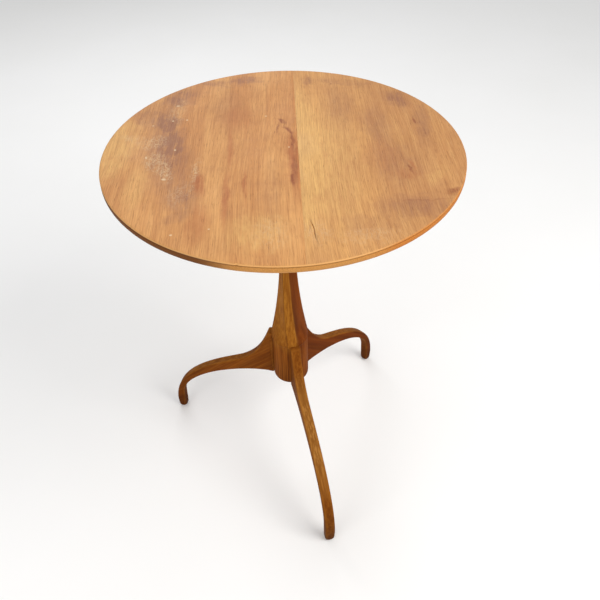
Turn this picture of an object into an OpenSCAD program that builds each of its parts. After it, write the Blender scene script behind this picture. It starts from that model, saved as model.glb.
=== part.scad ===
// Tilt top table: a round two-board top on battens, hinged on a block that is
// tenoned to a flared six-sided column with three dovetailed S-shaped legs.
// +Z is up, the grain of the top and the tilt axis run along Y, and the origin is
// on the floor under the middle of the top.

/* [Top] */
// Diameter of the round top
top_d = 560; // [520:10:600]
// Height of the top's upper surface above the floor
top_h = 700; // [680:5:730]
// Thickness of the boards
board_t = 18; // [16:1:22]
// Height of the top's edge, above the bevel underneath
rim_t = 13; // [11:0.5:14]
// Width of the bevel under the edge
bevel_w = 22; // [12:2:30]
// Distance of the glued joint to the right of the middle
seam_x = 23; // [0:1:40]

/* [Battens and block] */
// Length of a batten, across the grain
batten_l = 400; // [340:10:420]
// Width of a batten
batten_w = 26; // [22:1:32]
// Depth of a batten
batten_h = 30; // [30:1:34]
// Side of the square pivot block
block_w = 100; // [90:2:110]
// Diameter of the block's trunnions
trunnion_d = 16; // [12:1:18]
// Angle from flat to upright
tilt_max = 90; // [80:1:90]

/* [Column] */
// Middle of a narrow face to the axis, in the slender upper part
neck_narrow = 14.4; // [13.5:0.1:15.5]
// Middle of a wide face to the axis, in the slender upper part
neck_wide = 11.3; // [11:0.1:12.5]
// Middle of a narrow face to the axis, where the faces end
flare_narrow = 37; // [36.5:0.1:39]
// Middle of a wide face to the axis, before it rounds out to the base
flare_wide = 26.8; // [25.6:0.2:28]
// Height of the start of the flare
flare_top = 520; // [490:5:560]
// Height at which the faces end on the round base
base_z = 281; // [278:1:283]
// Radius of the round base
base_r = 34.5; // [34.4:0.1:35.6]
// Lowest point of the domed bottom
column_z = 168; // [162:1:170]
// Direction of the front narrow face at the base, in degrees from +X
face_turn = -83; // [-90:1:-75]
// How far the faces turn clockwise up the column, in degrees
face_twist = 22; // [0:1:25]

/* [Legs] */
// Thickness of the leg board
leg_t = 19; // [17:1:20]
// Radius of the outside of the feet
foot_r = 262; // [250:1:266]
// How much further out the front foot stands
front_reach = 16; // [0:1:16]
// Width of a foot
foot_w = 17; // [15:1:24]
// Height of the underside of a leg at the column
leg_z = 173; // [171:1:178]
// Height of the ledge on top of a leg
ledge_z = 284; // [283:1:288]
// How far that ledge reaches from the axis
ledge_r = 45; // [43:1:50]
// Direction of the front leg, in degrees from +X
front_turn = -77; // [-82:1:-72]

/* [Catch] */
// Diameter of the catch bolt
bolt_d = 8; // [6:0.5:9]
// Travel of the catch bolt
bolt_travel = 12; // [8:1:14]

/* [Hidden] */
$fn = 96;

top_r = top_d / 2;
under_z = top_h - board_t;          // underside of the top

// Tilt axis: half a batten below the top, the same distance in from the block's right edge.
hinge_drop = 15;
hinge_z = under_z - hinge_drop;
hinge_x = block_w / 2 - hinge_drop;
lay_gap = 0.3;                      // between the block and what swings past it
side_gap = 0.5;                     // between the block's ends and the battens
run_gap = 0.05;                     // running clearance of a round pin, on the radius
glue_gap = 0.1;                     // glue line round a dovetail
block_z = under_z - batten_h;
block_top = under_z - lay_gap;
batten_y = block_w / 2 + side_gap;  // inner face of a batten
trunnion_l = batten_w - 2;
batten_end = 40;                    // length of a batten's sloping end
batten_tip = 10;                    // depth left at its tip
tenon_r = 11;
wedge_t = 4;
wedge_tip_t = 1.5;
wedge_l = 22;

// Screws: [shank diameter, head diameter, head height]
wood_screw = [4, 8, 3];
small_screw = [2.4, 4.8, 1.6];
screw_tip = 0.3;
slot_w = 0.8;
slot_deep = 0.7;
screw_x = [-165, -110, 110, 165];   // places along a batten
screw_bite = 11;                    // how far a batten screw goes into the top
pocket_z = 8;                       // depth of the pocket that lets its head in
pocket_r = 5;
batten_screw_l = batten_h - pocket_z + screw_bite;
small_screw_l = 10;

// Leg board and its outline, as radius from the axis and height above the floor
leg_turns = [front_turn, 45, 165];  // front, right and left
seat_r = 34;                        // flat on the column that a leg's shoulder meets
seat_w = 25;                        // width of the cut that makes the flat
knee = [98, 198];                   // where the concave shoulder turns into the arch
knee_way = [25, -19];               // direction of the outline through the knee
fair_bend = [[50, 257], [68, 220]]; // shoulder that goes on from the column's flare
ledge_bend = [[56, 252], [63, 223]];
ledge_lip = 5;                      // upright part of the ledge
ledge_round = 4;
arch_top = 139;
arch_low = 120;
arch_in = 111;
ankle_z = 45;
ankle_out = 24;
toe_r = 6.5;
tail_r = 21;                        // inner end of the dovetail
tail_in = 7;                        // its half width there
tail_out = 5;                       // its half width at the shoulder
tail_drop = 8;                      // it stops this far below the leg's top
curve_steps = 16;

// The column's six faces
narrow_power = 2.3;                 // how late the flare of the narrow faces comes
wide_power = 1.95;
round_z = 325;                      // the wide faces start to round out to the base here
round_power = 1.6;
round_steps = 6;
lip = 0.5;                          // how far the rounded faces stand out over the base
twist_z = 450;                      // the faces turn between this height and the base
flare_steps = 14;
base_steps = 7;
dome_h = 13;
dome_steps = 10;

plate = [64, 34, 2];                // catch plate
plate_x = -57;                      // its end nearest the block
plate_screw = [16, 12.5];           // its screws, from an end and from the middle
guide = [7, 14];
guide_x = [-62, -114];              // ends of the two guides nearest the block
bolt_z = under_z - 9;
bolt_l = 82;
bolt_gap = 4;                       // between the drawn bolt and the block
bolt_hole_r = bolt_d / 2 + 0.4;
bolt_hole_l = bolt_travel - bolt_gap + 3;
bolt_x = -block_w / 2 - bolt_gap;   // end of the drawn bolt nearest the block
knob_x = (guide_x[0] - guide[0] + guide_x[1] - bolt_travel) / 2;
knob_r = 6;
knob_neck = [3, 2.4];               // radii of its neck, at the bolt and at the ball
knob_stem_r = 1.75;
strike = [1.5, 38, 17.2];
strike_screw_y = 13;

function rounded(p, a0, a1, r, n) =
    [for (i = [0 : n]) let (a = a0 + (a1 - a0) * i / n) p + r * [cos(a), sin(a)]];

function curve(a, b, c, d, n = curve_steps) =
    [for (i = [0 : n]) let (t = i / n, s = 1 - t)
        s * s * s * a + 3 * s * s * t * b + 3 * s * t * t * c + t * t * t * d];

function clamp(v) = min(max(v, 0), 1);

// Distance of a column face from the axis at height z: a straight neck, then a flare.
function flare(neck, foot, power, z) =
    neck + (foot - neck) * pow(clamp((flare_top - z) / (flare_top - base_z)), power);

function face_angle(z) =
    face_turn - face_twist * clamp((z - base_z) / (twist_z - base_z));

// Six corners at height z, of narrow faces that run down to the legs and wide ones
// between them.
function hexagon(z) =
    let (narrow = flare(neck_narrow, flare_narrow, narrow_power, z),
        wide = flare(neck_wide, flare_wide, wide_power, z))
    [for (k = [0 : 5])
        let (a = face_angle(z) + 60 * k,
            here = k % 2 == 0 ? narrow : wide,
            next = k % 2 == 0 ? wide : narrow)
        [(here * sin(a + 60) - next * sin(a)) / sin(60),
            (next * cos(a) - here * cos(a + 60)) / sin(60), z]];

// The same section with its wide faces rounded out, fully so at the base.
function rounded_hexagon(z) =
    let (out = pow(clamp((round_z - z) / (round_z - base_z)), round_power),
        corners = hexagon(z))
    [for (k = [0 : 2 : 4], i = [0 : round_steps])
        let (p = corners[k], q = corners[k + 1],
            chord = p + (q - p) * i / round_steps,
            at_end = i == 0 || i == round_steps,
            scale = at_end ? 1 : 1 + out * ((base_r + lip) / norm([chord.x, chord.y]) - 1))
        [chord.x * scale, chord.y * scale, z]];

// Outline of the edge of the top, from the middle of the upper surface round to the
// middle of the underside: a softened upper corner, a fine groove and a rounded band.
rim = [
    [0, top_h], [top_r - 1.6, top_h], [top_r - 0.5, top_h - 0.4], [top_r, top_h - 1.4],
    [top_r - 0.1, top_h - 2.8], [top_r - 0.9, top_h - 3.4], [top_r - 0.3, top_h - 4.2],
    [top_r, top_h - 5.5], [top_r - 0.1, top_h - rim_t + 3.5],
    [top_r - 0.8, top_h - rim_t + 1], [top_r - 2.4, top_h - rim_t],
    [top_r - bevel_w, under_z], [0, under_z]];

module top_disc() {
    rotate_extrude($fn = 180) polygon(rim);
}

// A countersunk screw along Z, head down with its flat face at the origin.
module screw(size, length) {
    difference() {
        rotate_extrude($fn = 32)
            polygon([[0, 0], [size[1] / 2, 0], [size[0] / 2, size[2]],
                [size[0] / 2, length - size[0]], [screw_tip, length], [0, length]]);
        translate([-size[1], -slot_w / 2, -1]) cube([2 * size[1], slot_w, 1 + slot_deep]);
    }
}

// The hole that a screw sits in.
module screw_hole(size, length) {
    rotate_extrude($fn = 32)
        polygon([[0, -1], [size[1] / 2, -1], [size[1] / 2, 0], [size[0] / 2, size[2]],
            [size[0] / 2, length - size[0]], [screw_tip, length], [0, length]]);
}

module at_batten_screws() {
    for (side = [-1, 1])
        for (x = screw_x)
            translate([x, side * (batten_y + batten_w / 2), block_z + pocket_z])
                children();
}

module at_plate_screws() {
    for (x = [plate_x - plate_screw[0], plate_x - plate[0] + plate_screw[0]])
        for (side = [-1, 1])
            translate([x, side * plate_screw[1], under_z - plate[2]]) children();
}

module at_strike_screws() {
    for (side = [-1, 1])
        translate([-block_w / 2, side * strike_screw_y, bolt_z])
            rotate([0, 90, 0]) children();
}

module board(left) {
    color(left ? "#c98a5a" : "#d6a468")
        difference() {
            intersection() {
                top_disc();
                translate([left ? seam_x - top_d : seam_x, -top_r - 1, under_z - 1])
                    cube([top_d, top_d + 2, board_t + 2]);
            }
            at_batten_screws() screw_hole(wood_screw, batten_screw_l);
            if (left) at_plate_screws() screw_hole(small_screw, small_screw_l);
        }
}

module top_board_left() { board(true); }
module top_board_right() { board(false); }

// side is -1 for the batten in front of the block and 1 for the one behind it.
module batten(side) {
    color("#8a5a32")
        difference() {
            translate([0, side * (batten_y + batten_w / 2) + batten_w / 2, 0])
                rotate([90, 0, 0])
                    linear_extrude(batten_w)
                        polygon([
                            [-batten_l / 2, under_z], [-batten_l / 2, under_z - batten_tip],
                            [-batten_l / 2 + batten_end, block_z],
                            [batten_l / 2 - batten_end, block_z],
                            [batten_l / 2, under_z - batten_tip], [batten_l / 2, under_z]]);
            translate([hinge_x, side * (batten_y + batten_w / 2), hinge_z])
                rotate([90, 0, 0])
                    cylinder(h = batten_w + 2, r = trunnion_d / 2 + run_gap, center = true);
            at_batten_screws() {
                screw_hole(wood_screw, batten_screw_l);
                translate([0, 0, -pocket_z - 1]) cylinder(h = pocket_z + 1, r = pocket_r);
            }
        }
}

module batten_front() { batten(-1); }
module batten_back() { batten(1); }

module batten_screws() {
    color("#8f8a80") at_batten_screws() screw(wood_screw, batten_screw_l);
}

// The tenon's kerf and the wedge that fills it.
module wedge_shape() {
    translate([0, tenon_r, 0])
        rotate([90, 0, 0])
            linear_extrude(2 * tenon_r)
                polygon([
                    [-wedge_t / 2, block_top], [wedge_t / 2, block_top],
                    [wedge_tip_t / 2, block_top - wedge_l], [-wedge_tip_t / 2, block_top - wedge_l]]);
}

// Square block with its right edge rounded about the tilt axis.
module pivot_block() {
    edge_r = hinge_drop - lay_gap;
    color("#7c4f2b")
        difference() {
            union() {
                translate([-block_w / 2, -block_w / 2, block_z])
                    cube([block_w / 2 + hinge_x, block_w, block_top - block_z]);
                translate([hinge_x, -block_w / 2, block_z])
                    cube([edge_r, block_w, hinge_z - block_z]);
                translate([hinge_x, block_w / 2, hinge_z])
                    rotate([90, 0, 0]) cylinder(h = block_w, r = edge_r);
                translate([hinge_x, block_w / 2 + trunnion_l, hinge_z])
                    rotate([90, 0, 0]) cylinder(h = block_w + 2 * trunnion_l, d = trunnion_d);
            }
            translate([0, 0, block_z - 1]) cylinder(h = batten_h + 2, r = tenon_r);
            translate([-block_w / 2 - 1, -strike[1] / 2, bolt_z - strike[2] / 2])
                cube([strike[0] + 1, strike[1], strike[2] + 1]);  // open at the top
            translate([-block_w / 2 - 1, 0, bolt_z])
                rotate([0, 90, 0]) cylinder(h = bolt_hole_l + 1, r = bolt_hole_r);
            at_strike_screws() screw_hole(small_screw, small_screw_l);
        }
}

module tenon_wedge() {
    color("#b98a58") intersection() {
        wedge_shape();
        translate([0, 0, block_z]) cylinder(h = batten_h, r = tenon_r);
    }
}

// A solid through rings of equally many corners, from the top one down.
module loft(rings) {
    count = len(rings[0]);
    last = len(rings) - 1;
    polyhedron(
        points = [for (ring = rings) each ring],
        faces = concat(
            [[for (k = [count - 1 : -1 : 0]) k], [for (k = [0 : count - 1]) count * last + k]],
            [for (i = [0 : last - 1], k = [0 : count - 1])
                let (a = count * i + k, b = count * i + (k + 1) % count)
                each [[a, b, a + count], [b, b + count, a + count]]]));
}

module column_body() {
    loft([for (z = concat(
        [block_z],
        [for (i = [0 : flare_steps - 1]) flare_top - (flare_top - round_z) * i / flare_steps],
        [for (i = [0 : base_steps]) round_z - (round_z - base_z) * i / base_steps]))
            rounded_hexagon(z)]);
    rotate_extrude()
        polygon(concat(
            [[0, base_z], [base_r, base_z]],
            [for (i = [0 : dome_steps - 1])
                let (a = 90 * i / dome_steps)
                    [base_r * cos(a), column_z + dome_h * (1 - sin(a))]],
            [[0, column_z]]));
}

// The dovetail on a leg, or with a gap the slot for it, along +X.
module dovetail(gap) {
    translate([0, 0, column_z - 1])
        linear_extrude(ledge_z - tail_drop - column_z + 1 + gap)
            polygon([
                [tail_r - gap, -tail_in - gap], [seat_r + 1, -tail_out - gap],
                [seat_r + 1, tail_out + gap], [tail_r - gap, tail_in + gap]]);
}

module column() {
    color("#96602d") {
        difference() {
            union() {
                column_body();
                translate([0, 0, block_z - 1]) cylinder(h = block_top - block_z + 1, r = tenon_r);
            }
            for (turn = leg_turns)
                rotate([0, 0, turn]) {
                    dovetail(glue_gap);
                    translate([seat_r, -seat_w / 2, column_z - 1])
                        cube([base_r, seat_w, ledge_z - column_z + 1]);
                }
            wedge_shape();
        }
    }
}

// Side view of a leg from the column out to the foot, whose outside is at reach. A faired
// leg has no ledge: its shoulder goes on from the column's flare.
function leg_outline(faired, reach) =
    let (foot_in = reach - foot_w,
        shoulder = faired
            ? curve([flare_narrow, ledge_z], fair_bend[0], fair_bend[1], knee)
            : concat(
                rounded([ledge_r - ledge_round, ledge_z - ledge_round], 90, 10, ledge_round, 4),
                curve([ledge_r, ledge_z - ledge_lip], ledge_bend[0], ledge_bend[1], knee)),
        arch = curve(knee, knee + knee_way, [reach, arch_top], [reach, ankle_out]),
        toe = concat(
            rounded([reach - toe_r, toe_r], 0, -90, toe_r, 6),
            rounded([foot_in + toe_r, toe_r], -90, -180, toe_r, 6)),
        under = curve([foot_in, ankle_z], [foot_in, arch_low], [arch_in, leg_z], [seat_r, leg_z]))
    concat([[seat_r, ledge_z]], shoulder, [for (i = [1 : curve_steps]) arch[i]], toe, under);

module leg(turn, faired, reach = foot_r) {
    rotate([0, 0, turn]) {
        translate([0, leg_t / 2, 0])
            rotate([90, 0, 0])
                linear_extrude(leg_t) polygon(leg_outline(faired, reach));
        intersection() {
            dovetail(0);
            rotate([0, 0, -turn]) column_body();
        }
    }
}

module leg_front() { color("#9a622a") leg(leg_turns[0], false, foot_r + front_reach); }
module leg_right() { color("#7a4420") leg(leg_turns[1], true); }
module leg_left() { color("#84502a") leg(leg_turns[2], false); }

module catch_plate() {
    color("#c8a24c")
        difference() {
            union() {
                translate([plate_x - plate[0], -plate[1] / 2, under_z - plate[2]]) cube(plate);
                for (x = guide_x)
                    translate([x - guide[0], 0, 0]) {
                        translate([0, -guide[1] / 2, bolt_z])
                            cube([guide[0], guide[1], under_z - plate[2] / 2 - bolt_z]);
                        translate([0, 0, bolt_z])
                            rotate([0, 90, 0]) cylinder(h = guide[0], d = guide[1]);
                    }
            }
            translate([plate_x - plate[0] - 5, 0, bolt_z])
                rotate([0, 90, 0]) cylinder(h = plate[0] + 10, r = bolt_d / 2 + run_gap);
            at_plate_screws() screw_hole(small_screw, small_screw_l);
        }
}

module catch_bolt() {
    color("#d3ad58")
        difference() {
            translate([bolt_x - bolt_l, 0, bolt_z])
                rotate([0, 90, 0])
                    rotate_extrude($fn = 48)
                        polygon([[0, 0], [bolt_d / 2 - 1, 0], [bolt_d / 2, 1],
                            [bolt_d / 2, bolt_l - 1], [bolt_d / 2 - 1, bolt_l],
                            [0, bolt_l]]);
            translate([knob_x, 0, bolt_z - bolt_d]) cylinder(h = bolt_d, r = knob_stem_r);
        }
}

// Turned knob below the bolt.
module catch_knob() {
    color("#d9b765")
        translate([knob_x, 0, bolt_z])
            rotate_extrude($fn = 48)
                polygon(concat(
                    [[0, 0], [knob_stem_r, 0], [knob_stem_r, -bolt_d / 2 - 1],
                        [knob_neck[0], -bolt_d / 2 - 1], [knob_neck[1], -bolt_d / 2 - 4]],
                    rounded([0, -bolt_d / 2 - 9], 60, -90, knob_r, 8)));
}

module catch_screws() {
    color("#bd9a4b") at_plate_screws() screw(small_screw, small_screw_l);
}

module strike_plate() {
    color("#c8a24c")
        difference() {
            translate([-block_w / 2, -strike[1] / 2, bolt_z - strike[2] / 2]) cube(strike);
            translate([-block_w / 2 - 1, 0, bolt_z])
                rotate([0, 90, 0]) cylinder(h = strike[0] + 2, r = bolt_hole_r);
            at_strike_screws() screw_hole(small_screw, small_screw_l);
        }
}

module strike_screws() {
    color("#bd9a4b") at_strike_screws() screw(small_screw, small_screw_l);
}

top_board_left();
top_board_right();
batten_front();
batten_back();
batten_screws();
pivot_block();
tenon_wedge();
column();
leg_front();
leg_left();
leg_right();
catch_plate();
catch_bolt();
catch_knob();
catch_screws();
strike_plate();
strike_screws();
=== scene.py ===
import math

import bmesh
import bpy
from mathutils import Matrix, Vector, noise

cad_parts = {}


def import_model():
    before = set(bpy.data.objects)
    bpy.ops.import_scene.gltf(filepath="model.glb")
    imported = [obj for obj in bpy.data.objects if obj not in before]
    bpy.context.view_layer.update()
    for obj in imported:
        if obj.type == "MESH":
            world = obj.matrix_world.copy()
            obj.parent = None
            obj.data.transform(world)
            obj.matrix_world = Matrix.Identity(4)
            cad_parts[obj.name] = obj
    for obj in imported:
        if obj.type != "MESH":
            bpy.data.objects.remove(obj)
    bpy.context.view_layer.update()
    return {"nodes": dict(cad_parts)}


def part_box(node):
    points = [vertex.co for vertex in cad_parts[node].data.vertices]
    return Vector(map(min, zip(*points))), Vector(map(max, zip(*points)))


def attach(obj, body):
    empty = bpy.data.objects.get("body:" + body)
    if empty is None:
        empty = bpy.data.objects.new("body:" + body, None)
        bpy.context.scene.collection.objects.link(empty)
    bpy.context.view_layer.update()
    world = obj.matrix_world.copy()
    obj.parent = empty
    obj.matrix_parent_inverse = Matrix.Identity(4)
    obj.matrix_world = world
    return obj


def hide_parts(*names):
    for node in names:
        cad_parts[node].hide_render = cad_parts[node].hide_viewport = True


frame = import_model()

# ---- Places and sizes ----
# What is read from the CAD model is in metres. Lengths written as plain numbers are in
# millimetres, and MM turns them to metres.
MM = 0.001

top_lo = Vector(map(min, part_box("top_board_left")[0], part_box("top_board_right")[0]))
top_hi = Vector(map(max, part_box("top_board_left")[1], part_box("top_board_right")[1]))
TOP_R = (top_hi.x - top_lo.x) / 2
TOP_Z = top_hi.z
UNDER_Z = top_lo.z
SEAM_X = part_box("top_board_right")[0].x
BLOCK_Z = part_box("pivot_block")[0].z
BLOCK_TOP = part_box("pivot_block")[1].z
COLUMN_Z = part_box("column")[0].z
LEDGE_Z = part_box("leg_front")[1].z

# Column: distance of a narrow face and of a wide face from the axis, and where the faces
# turn, curve out and end on the round base. As in part.scad.
NECK = (14.4, 11.3)
FLARE = (37.0, 26.8)
FLARE_POWERS = (2.3, 1.95)
FLARE_TOP = 520.0
ROUND_TOP = 325.0
ROUND_POWER = 1.6
TWIST_TOP = 450.0
FACE_TURN = -83.0
FACE_TWIST = 22.0
BASE_TOP = 281.0
BASE_R = 34.5
DOME_H = 13.0

# Legs, as in part.scad: thickness, underside at the column, distance of the outside of the
# foot, the foot's width and the radius of its corners, the seat on the column, and how much
# further out the front foot stands.
LEG_T = 19.0
LEG_Z = 173.0
FOOT_R = 262.0
FOOT_W = 17.0
TOE_R = 6.5
SEAT_R = 34.0
FRONT_REACH = 16.0
LEG_AZIMUTHS = {"leg_front": -77.0, "leg_right": 45.0, "leg_left": 165.0}
KNEE = Vector((98, 198))


def srgb(r, g, b):
    """An 8-bit display colour as the linear RGBA that shaders take."""
    def linear(c):
        c /= 255
        return c / 12.92 if c <= 0.04045 else ((c + 0.055) / 1.055) ** 2.4
    return (linear(r), linear(g), linear(b), 1.0)


# ---- Node trees ----
class Tree:
    """A material's nodes, with a short call for each kind that is used here."""

    def __init__(self, name):
        self.material = bpy.data.materials.new(name)
        self.material.use_nodes = True
        self.tree = self.material.node_tree
        self.tree.nodes.clear()

    def put(self, socket, value):
        if isinstance(value, bpy.types.NodeSocket):
            self.tree.links.new(value, socket)
        else:
            socket.default_value = value

    def add(self, kind, sockets=None, **settings):
        node = self.tree.nodes.new(kind)
        for key, value in settings.items():
            setattr(node, key, value)
        for key, value in (sockets or {}).items():
            self.put(node.inputs[key], value)
        return node

    def math(self, operation, a, b=0.0, clamp=False):
        return self.add("ShaderNodeMath", {0: a, 1: b}, operation=operation,
                        use_clamp=clamp).outputs[0]

    def plus(self, a, b):
        return self.math("ADD", a, b)

    def minus(self, a, b):
        return self.math("SUBTRACT", a, b)

    def times(self, a, b):
        return self.math("MULTIPLY", a, b)

    def vector(self, operation, a, b=(0.0, 0.0, 0.0)):
        node = self.add("ShaderNodeVectorMath", {0: a, 1: b}, operation=operation)
        return node.outputs["Value" if operation == "LENGTH" else "Vector"]

    def mix(self, factor, a, b, blend="MIX"):
        node = self.add("ShaderNodeMix", data_type="RGBA", blend_type=blend)
        for index, value in ((0, factor), (6, a), (7, b)):
            self.put(node.inputs[index], value)
        return node.outputs[2]

    def ramp(self, value, low, high, out_low=0.0, out_high=1.0):
        """A smooth step from out_low at low to out_high at high."""
        node = self.add("ShaderNodeMapRange",
                        {"Value": value, "From Min": low, "From Max": high,
                         "To Min": out_low, "To Max": out_high},
                        interpolation_type="SMOOTHSTEP")
        return node.outputs["Result"]

    def layers(self, colour, rows):
        """Lays colours over one another. Each row has a value, where it starts and where it
        is full, the share of the colour there, and the colour."""
        for value, low, high, share, tint in rows:
            colour = self.mix(self.ramp(value, low, high, 0.0, share), colour, tint)
        return colour

    def noise(self, vector, stretch, detail=3.0, rough=0.5, seed=0.0):
        """Noise with its own number of waves per metre along each axis."""
        placed = self.vector("ADD", self.vector("MULTIPLY", vector, stretch),
                             (seed, seed * 1.7, seed * 2.3))
        return self.add("ShaderNodeTexNoise",
                        {"Vector": placed, "Scale": 1.0, "Detail": detail,
                         "Roughness": rough}).outputs["Fac"]

    def split(self, vector):
        return self.add("ShaderNodeSeparateXYZ", {0: vector}).outputs

    def object_coords(self):
        return self.add("ShaderNodeTexCoord").outputs["Object"]

    def attribute(self, name, output):
        return self.add("ShaderNodeAttribute", attribute_name=name).outputs[output]

    def bump(self, height, distance, strength):
        return self.add("ShaderNodeBump", {"Height": height, "Distance": distance,
                                           "Strength": strength}).outputs["Normal"]

    def finish(self, **sockets):
        """Principled shader; keywords use _ for the spaces in a socket's name."""
        shader = self.add("ShaderNodeBsdfPrincipled",
                          {key.replace("_", " "): value for key, value in sockets.items()})
        output = self.add("ShaderNodeOutputMaterial")
        self.tree.links.new(shader.outputs[0], output.inputs[0])
        return self.material


# ---- Wood ----
# Across the grain, how many to the metre
FIBRES = 950.0
PORES = 1140.0
# Height of the relief in the surface
TOP_RELIEF = 0.14 * MM
FRAME_RELIEF = 0.18 * MM
METAL_RELIEF = 0.04 * MM
# Specular levels: the top's worn wax still shines, the frame's old finish hardly does.
TOP_SHINE = 0.14
FRAME_SHINE = 0.03


def wood_figure(t, grain, seed, broad=26.0):
    """The figure that all the wood shares. grain is across, along and through the board, and
    broad is how many streaks a metre has, across the grain. Returns broad streaks, narrow
    streaks, fibres, dark pores and slow blotches, 0 to 1."""
    sway = t.minus(t.noise(grain, (5, 1.5, 5), 2.0, 0.5, seed), 0.5)
    bent = t.vector("ADD", grain, t.add("ShaderNodeCombineXYZ", {
        0: t.times(sway, 0.05), 1: 0.0, 2: t.times(sway, 0.02)}).outputs[0])
    streaks = t.noise(bent, (broad, 1.6, broad), 4.0, 0.55, seed + 3)
    narrow = t.noise(bent, (broad * 7, 7.0, broad * 7), 4.0, 0.65, seed + 13)
    fibres = t.noise(bent, (FIBRES, 16, FIBRES), 3.0, 0.7, seed + 5)
    pores = t.ramp(t.noise(bent, (PORES, 55, PORES), 2.0, 0.5, seed + 7), 0.6, 0.72)
    blotches = t.noise(grain, (9, 7, 9), 5.0, 0.6, seed + 9)
    return streaks, narrow, fibres, pores, blotches


def patch(t, coords, centre, size, angle, softness):
    """1 inside a soft ellipse on the top, 0 outside. size is half its width and length."""
    placed = t.add("ShaderNodeMapping",
                   {"Vector": coords,
                    "Location": (centre[0] * MM, centre[1] * MM, TOP_Z),
                    "Rotation": (0.0, 0.0, math.radians(angle)),
                    "Scale": (size[0] * MM, size[1] * MM, 0.2)},
                   vector_type="TEXTURE").outputs[0]
    return t.ramp(t.vector("LENGTH", placed), 1.0, 1.0 - softness)


# Stains on the top: centre, half size, angle from the grain, strength.
PLUM_LEFT = [
    ((-176, 176), (40, 58), -36, 1.1), ((-190, 100), (30, 52), 4, 1.1),
    ((-176, 30), (30, 60), -4, 0.7), ((-66, 238), (44, 22), 0, 1.0),
    ((-160, -60), (44, 110), 6, 0.7), ((-143, -138), (34, 42), 0, 0.5),
    ((-188, 20), (46, 130), 0, 0.7),
    ((-150, -174), (34, 16), 28, 0.45), ((-132, -100), (8, 60), -6, 0.6),
    ((-118, 232), (42, 18), -18, 0.7), ((-226, 112), (30, 60), 0, 0.7),
    ((-92, 130), (30, 90), 0, 0.35), ((-22, -120), (26, 120), 0, 0.3)]
RED_LEFT = [
    ((-124, -92), (14, 44), 8, 1.2), ((-120, -190), (22, 70), -3, 0.7),
    ((-82, 0), (7, 80), 2, 0.9), ((-84, -130), (8, 90), 0, 1.0),
    ((-57, -100), (5, 54), 2, 0.9), ((-74, 100), (40, 60), 0, 0.45),
    ((18, 70), (34, 210), 0, 0.45), ((16, -50), (14, 130), 0, 0.9)]
KNOT_LEFT = [
    ((0, 84), (6, 16), 26, 1.3), ((9, 56), (6, 18), 32, 1.3), ((15, 22), (4, 36), 2, 1.3),
    ((16, -60), (6, 66), -1, 1.0), ((12, -92), (4, 22), 0, 1.1), ((-8, 62), (3, 24), -4, 0.8)]
PLUM_RIGHT = [
    ((168, -50), (52, 90), 8, 0.65), ((197, 150), (28, 44), 24, 1.0),
    ((150, 60), (34, 90), 0, 0.6), ((228, 60), (20, 90), -6, 0.7),
    ((110, 222), (70, 22), -12, 0.5), ((178, -165), (74, 40), 0, 0.8),
    ((120, -205), (60, 34), 0, 0.45),
    ((48, 230), (14, 30), 0, 0.8), ((100, 130), (34, 90), 0, 0.4)]
RED_RIGHT = [
    ((192, -60), (5, 22), 12, 0.8), ((150, -30), (40, 70), 4, 0.35),
    ((180, -84), (30, 20), 0, 0.5)]
KNOT_RIGHT = [
    ((243, -129), (15, 6), 24, 0.9), ((234, -136), (14, 11), 20, 0.6),
    ((187, -70), (3.4, 18), 8, 1.2), ((190, -150), (62, 3.0), 0, 0.4),
    ((90, 216), (2, 4), 0, 1.3), ((217, 74), (4, 14), 8, 0.9)]
PALE_LEFT = [
    ((-262, 20), (46, 130), 0, 1.5), ((-215, -90), (24, 80), 0, 0.7),
    ((-40, -210), (60, 60), 0, 1.0)]
PALE_RIGHT = [
    ((20, 0), (48, 300), 0, 1.4), ((54, -50), (84, 240), 0, 1.0),
    ((222, -90), (18, 34), -30, 0.7)]
SCUFFS_LEFT = [
    ((-205, 30), (34, 26), 0, 1.2), ((-196, -26), (24, 38), 8, 1.1),
    ((-176, -60), (14, 40), 6, 1.3), ((-240, 46), (26, 14), 0, 0.7),
    ((-133, -70), (6, 70), -2, 1.0), ((-150, -120), (20, 40), 0, 0.6),
    ((-175, 130), (24, 60), 0, 0.6), ((-20, -215), (34, 44), 0, 0.5)]
SCUFFS_RIGHT = [((40, -215), (24, 34), 0, 0.6), ((110, -225), (60, 20), 0, 0.5)]
# In the order they go on: tables of the left and the right board, seed, how far the outline
# wanders, how broken up it is, strength and colour.
STAIN_KINDS = [
    ((PALE_LEFT, PALE_RIGHT), 63.0, 1.0, 1.0, 0.6, srgb(234, 188, 116)),
    ((PLUM_LEFT, PLUM_RIGHT), 51.0, 1.0, 1.0, 0.85, srgb(150, 104, 82)),
    ((RED_LEFT, RED_RIGHT), 57.0, 0.4, 0.7, 0.8, srgb(176, 104, 64)),
    ((KNOT_LEFT, KNOT_RIGHT), 60.0, 0.4, 1.0, 0.9, srgb(142, 80, 54))]
# Small pale nicks: centre, half size, angle from the grain.
NICKS = [
    ((-178, 150), (4, 2.4), 0), ((-168, 4), (2.2, 3.4), 10), ((-27, 104), (2.2, 2.2), 0),
    ((9, 2), (1.7, 2.6), 0), ((-151, -210), (2.6, 2.4), 20), ((-181, 97), (2.2, 3), 0),
    ((-158, 99), (2.4, 2.8), 0), ((-212, 83), (2.4, 1.8), 0), ((-176, -78), (5, 3), -20),
    ((-210, -16), (2, 5), 15), ((-102, -200), (2, 1.8), 0)]
# Open shake in the right board: its two ends, and half its width in the middle.
CRACK = ((32.5, -190), (39.5, -228), 0.8)


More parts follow.
